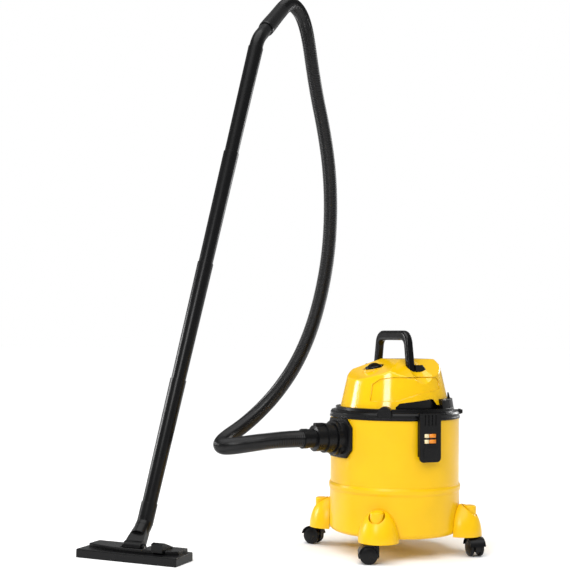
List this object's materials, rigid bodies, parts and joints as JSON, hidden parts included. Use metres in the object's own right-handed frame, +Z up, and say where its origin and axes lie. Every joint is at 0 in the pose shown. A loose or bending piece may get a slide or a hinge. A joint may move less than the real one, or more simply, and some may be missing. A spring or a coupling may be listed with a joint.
{
  "type": "wet and dry shop vacuum",
  "caption": "Canister shop vacuum: round tank on swivel casters, latched motor head with carry handle, ribbed hose, sectional wand and floor nozzle.",
  "frame": {"origin": "on the floor, under the tank's axis", "axes": "+Z up along the tank's axis, hose inlet on -Y, latches on +X and -X"},
  "size_m": [0.6912, 0.8591, 1.4128],
  "materials": {
    "yellow_shell": "satin moulded plastic",
    "black_plastic": "fine-grained moulded plastic",
    "plated_steel": "zinc plated",
    "seal_rubber": "soft",
    "wheel_black": "hard plastic",
    "hose_black": "corrugated, satin",
    "filter_paper": "pleated paper",
    "white_plastic": "smooth",
    "brush_nylon": "bristles"
  },
  "bodies": {
    "vacuum": {"tank": "yellow_shell", "foot_screws": "plated_steel", "inlet_flange": "black_plastic", "inlet_gasket": "seal_rubber", "inlet_screws": "plated_steel", "hose": "hose_black", "hose_cuff_wand": "black_plastic", "wand_grip": "black_plastic", "wand_tube_1": "black_plastic", "wand_tube_2": "black_plastic", "wand_tube_3": "black_plastic", "wand_tube_4": "black_plastic", "nozzle_elbow": "black_plastic", "foot_front_right": "yellow_shell", "foot_front_left": "yellow_shell", "foot_rear_right": "yellow_shell", "foot_rear_left": "yellow_shell", "caster_stem_front_right": "plated_steel", "caster_stem_front_left": "plated_steel", "caster_stem_rear_right": "plated_steel", "caster_stem_rear_left": "plated_steel"},
    "caster_front_right": {"caster_hood_front_right": "black_plastic", "caster_axle_front_right": "plated_steel"},
    "wheels_front_right": {"caster_wheels_front_right": "wheel_black"},
    "caster_front_left": {"caster_hood_front_left": "black_plastic", "caster_axle_front_left": "plated_steel"},
    "wheels_front_left": {"caster_wheels_front_left": "wheel_black"},
    "caster_rear_right": {"caster_hood_rear_right": "black_plastic", "caster_axle_rear_right": "plated_steel"},
    "wheels_rear_right": {"caster_wheels_rear_right": "wheel_black"},
    "caster_rear_left": {"caster_hood_rear_left": "black_plastic", "caster_axle_rear_left": "plated_steel"},
    "wheels_rear_left": {"caster_wheels_rear_left": "wheel_black"},
    "head": {"head_base": "black_plastic", "head_seal": "seal_rubber", "head_cover": "yellow_shell", "head_screws": "plated_steel", "carry_handle": "black_plastic", "switch_body": "black_plastic", "motor_housing": "black_plastic", "motor_stator": "plated_steel", "fan_housing": "black_plastic", "float_cage": "black_plastic", "filter_cartridge": "filter_paper", "cord_gland": "black_plastic", "blower_port": "black_plastic", "latch_pins": "plated_steel"},
    "rotor": {"motor_rotor": "plated_steel", "impeller": "black_plastic"},
    "float": {"float_ball": "white_plastic"},
    "latch_right": {"latch_right": "black_plastic"},
    "latch_left": {"latch_left": "black_plastic"},
    "switch_knob": {"switch_knob": "black_plastic"},
    "tank_cuff": {"hose_cuff_tank": "black_plastic"},
    "nozzle_neck": {"nozzle_neck": "black_plastic"},
    "nozzle": {"nozzle_body": "black_plastic", "nozzle_cover": "black_plastic", "nozzle_pins": "plated_steel"},
    "nozzle_pedal": {"nozzle_pedal": "black_plastic"},
    "nozzle_brushes": {"nozzle_brushes": "brush_nylon"}
  },
  "joints": [
    {"name": "caster_swivel_front_right", "type": "hinge", "parent": "vacuum", "child": "caster_front_right", "pos_m": [0.12799, -0.12799, 0.03], "axis": [0, 0, 1], "continuous": true},
    {"name": "wheel_roll_front_right", "type": "hinge", "parent": "caster_front_right", "child": "wheels_front_right", "pos_m": [0.12027, -0.14313, 0.02], "axis": [0.891, -0.454, 0], "continuous": true},
    {"name": "caster_swivel_front_left", "type": "hinge", "parent": "vacuum", "child": "caster_front_left", "pos_m": [-0.12799, -0.12799, 0.03], "axis": [0, 0, 1], "continuous": true},
    {"name": "wheel_roll_front_left", "type": "hinge", "parent": "caster_front_left", "child": "wheels_front_left", "pos_m": [-0.14256, -0.13674, 0.02], "axis": [0.515, -0.8572, 0], "continuous": true},
    {"name": "caster_swivel_rear_right", "type": "hinge", "parent": "vacuum", "child": "caster_rear_right", "pos_m": [0.12799, 0.12799, 0.03], "axis": [0, 0, 1], "continuous": true},
    {"name": "wheel_roll_rear_right", "type": "hinge", "parent": "caster_rear_right", "child": "wheels_rear_right", "pos_m": [0.14455, 0.12416, 0.02], "axis": [0.225, 0.9744, 0], "continuous": true},
    {"name": "caster_swivel_rear_left", "type": "hinge", "parent": "vacuum", "child": "caster_rear_left", "pos_m": [-0.12799, 0.12799, 0.03], "axis": [0, 0, 1], "continuous": true},
    {"name": "wheel_roll_rear_left", "type": "hinge", "parent": "caster_rear_left", "child": "wheels_rear_left", "pos_m": [-0.1338, 0.11201, 0.02], "axis": [0.9397, -0.342, 0], "continuous": true},
    {"name": "head_lift", "type": "slide", "parent": "vacuum", "child": "head", "axis": [0, 0, 1], "range_m": [0, 0.25]},
    {"name": "motor_spin", "type": "hinge", "parent": "head", "child": "rotor", "pos_m": [0, 0, 0.366], "axis": [0, 0, 1], "continuous": true},
    {"name": "float_rise", "type": "slide", "parent": "head", "child": "float", "axis": [0, 0, 1], "range_m": [0, 0.045]},
    {"name": "latch_right_swing", "type": "hinge", "parent": "head", "child": "latch_right", "pos_m": [0.15715, -0.01044, 0.321], "axis": [-0.0663, -0.9978, 0], "range_deg": [0, 70]},
    {"name": "latch_left_swing", "type": "hinge", "parent": "head", "child": "latch_left", "pos_m": [-0.15715, -0.01044, 0.321], "axis": [-0.0663, 0.9978, 0], "range_deg": [0, 70]},
    {"name": "switch_turn", "type": "hinge", "parent": "head", "child": "switch_knob", "pos_m": [0, -0.057, 0.42], "axis": [0, -0.2079, 0.9781], "range_deg": [-60, 60]},
    {"name": "tank_cuff_twist", "type": "hinge", "parent": "vacuum", "child": "tank_cuff", "pos_m": [0, -0.2, 0.265], "axis": [0, -1, 0], "range_deg": [-30, 30]},
    {"name": "nozzle_swivel", "type": "hinge", "parent": "vacuum", "child": "nozzle_neck", "pos_m": [-0.15945, -0.56612, 0.05882], "axis": [-0.4545, 0.5417, 0.7071], "range_deg": [-35, 35]},
    {"name": "nozzle_tilt", "type": "hinge", "parent": "nozzle_neck", "child": "nozzle", "pos_m": [-0.139, -0.5905, 0.027], "axis": [0.766, 0.6428, 0], "range_deg": [-35, 12]},
    {"name": "pedal_rock", "type": "hinge", "parent": "nozzle", "child": "nozzle_pedal", "pos_m": [-0.08871, -0.54308, 0.022], "axis": [0.766, 0.6428, 0], "range_deg": [0, 5]},
    {"name": "brush_drop", "type": "slide", "parent": "nozzle", "child": "nozzle_brushes", "axis": [0, 0, 1], "range_m": [-0.004, 0]}
  ],
  "couplings": [
    {"joint": "brush_drop", "follows": "pedal_rock", "m_per_rad": -0.044691}
  ]
}
